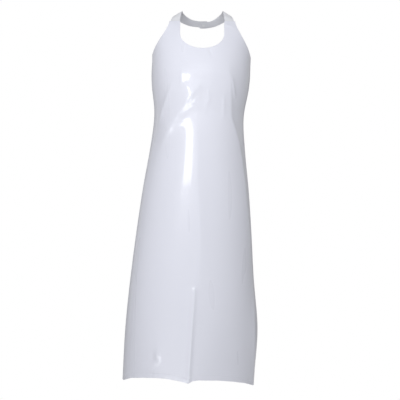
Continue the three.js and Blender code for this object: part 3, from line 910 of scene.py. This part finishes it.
# ---------------------------------------------------------------- Studio
# A pale floor that curves up into a backdrop, a soft sky, and soft boxes in front, on the floor and behind.
# None of it is part of the apron, which is held up as by its wearer, so the floor lies below the hem.
hem_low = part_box("apron_panel")[0].z
floor_z = hem_low - 0.30


def studio_floor():
    """Floor and backdrop in one sweep, white where the camera looks straight at it."""
    front, rear, sweep, top, half_width = -6.0, 3.0, 2.0, 4.0, 5.0
    profile = [(front, 0.0), (rear, 0.0)]
    for a in np.linspace(0, math.pi / 2, 13)[1:]:
        profile.append((rear + sweep * math.sin(a), sweep * (1 - math.cos(a))))
    profile.append((rear + sweep, top))
    points = np.array([[(x, y, floor_z + z) for x in (-half_width, half_width)] for y, z in profile])
    floor = film_sheet("studio_floor", points)
    material, nodes, links, shader = new_material("pale_floor")
    speckle = add_node(nodes, "TexNoise", Scale=3.0)
    colours = add_ramp(nodes, (0.65, 0.65, 0.65), (0.69, 0.69, 0.69))
    bright = add_node(nodes, "Emission")
    seen = add_node(nodes, "LightPath")
    shown = add_node(nodes, "MixShader")
    wire(links,
         (speckle, "Fac", colours, "Fac"),
         (colours, "Color", shader, "Base Color"),
         (seen, "Is Camera Ray", shown, "Fac"),
         (shader, "BSDF", shown, 1),
         (bright, "Emission", shown, 2),
         (shown, "Shader", nodes["Material Output"], "Surface"))
    set_inputs(shader, Roughness=0.9)
    floor.data.materials.append(material)


studio_floor()


def soft_box(name, place, aim, size, power, mirrored=False, lights=True):
    """A soft box that shows as a reflection, gives light, or both."""
    lamp = bpy.data.lights.new(name, "AREA")
    lamp.shape = "RECTANGLE"
    lamp.size, lamp.size_y = size
    lamp.energy = power
    lamp.color = (0.96, 0.975, 1.0)
    box = bpy.data.objects.new(name, lamp)
    box.location = place
    box.rotation_euler = (Vector(aim) - Vector(place)).to_track_quat("-Z", "Y").to_euler()
    box.visible_glossy = mirrored
    box.visible_camera = False
    box.visible_diffuse = lights
    bpy.context.scene.collection.objects.link(box)


soft_box("key_box", (-0.95, -2.55, -0.03), (0, 0, -0.45), (0.42, 0.46), 6, mirrored=True)
soft_box("fill_box", (-0.08, -1.80, 0.25), (0, 0, -0.20), (1.2, 0.8), 13)
soft_box("floor_box", (-1.0, -3.35, floor_z + 0.02), (-1.0, -3.34, 1), (4.2, 2.9), 190,
         mirrored=True, lights=False)
soft_box("rear_box", (0.35, 2.20, 0.30), (0, 0, -0.50), (2.0, 1.6), 24)


def studio_sky():
    """Soft light from the front left, fading to the right and behind, and white where it is looked at."""
    world = bpy.data.worlds.new("sky")
    world.use_nodes = True
    nodes, links = world.node_tree.nodes, world.node_tree.links
    sky = nodes["Background"]
    way = add_node(nodes, "TexCoord")
    facing = add_node(nodes, "VectorMath")
    facing.operation = "DOT_PRODUCT"
    facing.inputs[1].default_value = Vector((-0.24, -0.96, 0.12)).normalized()
    level = add_node(nodes, "MapRange", From_Min=-0.1, From_Max=0.85, To_Min=0.20, To_Max=0.79)
    behind = add_node(nodes, "SeparateXYZ")
    rear = add_node(nodes, "MapRange", From_Min=0.25, From_Max=1.0, To_Min=0.0, To_Max=0.75)
    level.interpolation_type = rear.interpolation_type = "SMOOTHSTEP"
    both = add_node(nodes, "Math")
    both.operation = "ADD"
    seen = add_node(nodes, "LightPath")
    shown = add_node(nodes, "Mix", B=1.0)
    hue = add_ramp(nodes, (1.0, 1.0, 0.965), (0.935, 0.955, 1.0), 0.2, 0.8)
    tinted = add_node(nodes, "Mix")
    tinted.data_type = "RGBA"
    set_inputs(tinted, B=(1, 1, 1, 1))
    wire(links,
         (way, "Generated", facing, 0),
         (way, "Generated", behind, "Vector"),
         (facing, "Value", level, "Value"),
         (behind, "Y", rear, "Value"),
         (level, "Result", both, 0),
         (rear, "Result", both, 1),
         (seen, "Is Camera Ray", shown, "Factor"),
         (both, "Value", shown, "A"),
         (shown, "Result", sky, "Strength"),
         (level, "Result", hue, "Fac"),
         (seen, "Is Camera Ray", tinted, "Factor"),
         (hue, "Color", tinted, "A"),
         (tinted, "Result", sky, "Color"))
    bpy.context.scene.world = world


studio_sky()
bpy.context.scene.view_settings.view_transform = "Standard"

camera_data = bpy.data.cameras.new("camera")
camera_data.lens = 85
camera_data.sensor_width = 36
camera = bpy.data.objects.new("camera", camera_data)
camera.location = (-0.008, -3.118, -0.6234)
camera.rotation_euler = (math.radians(90), 0, 0)
bpy.context.scene.collection.objects.link(camera)
bpy.context.scene.camera = camera
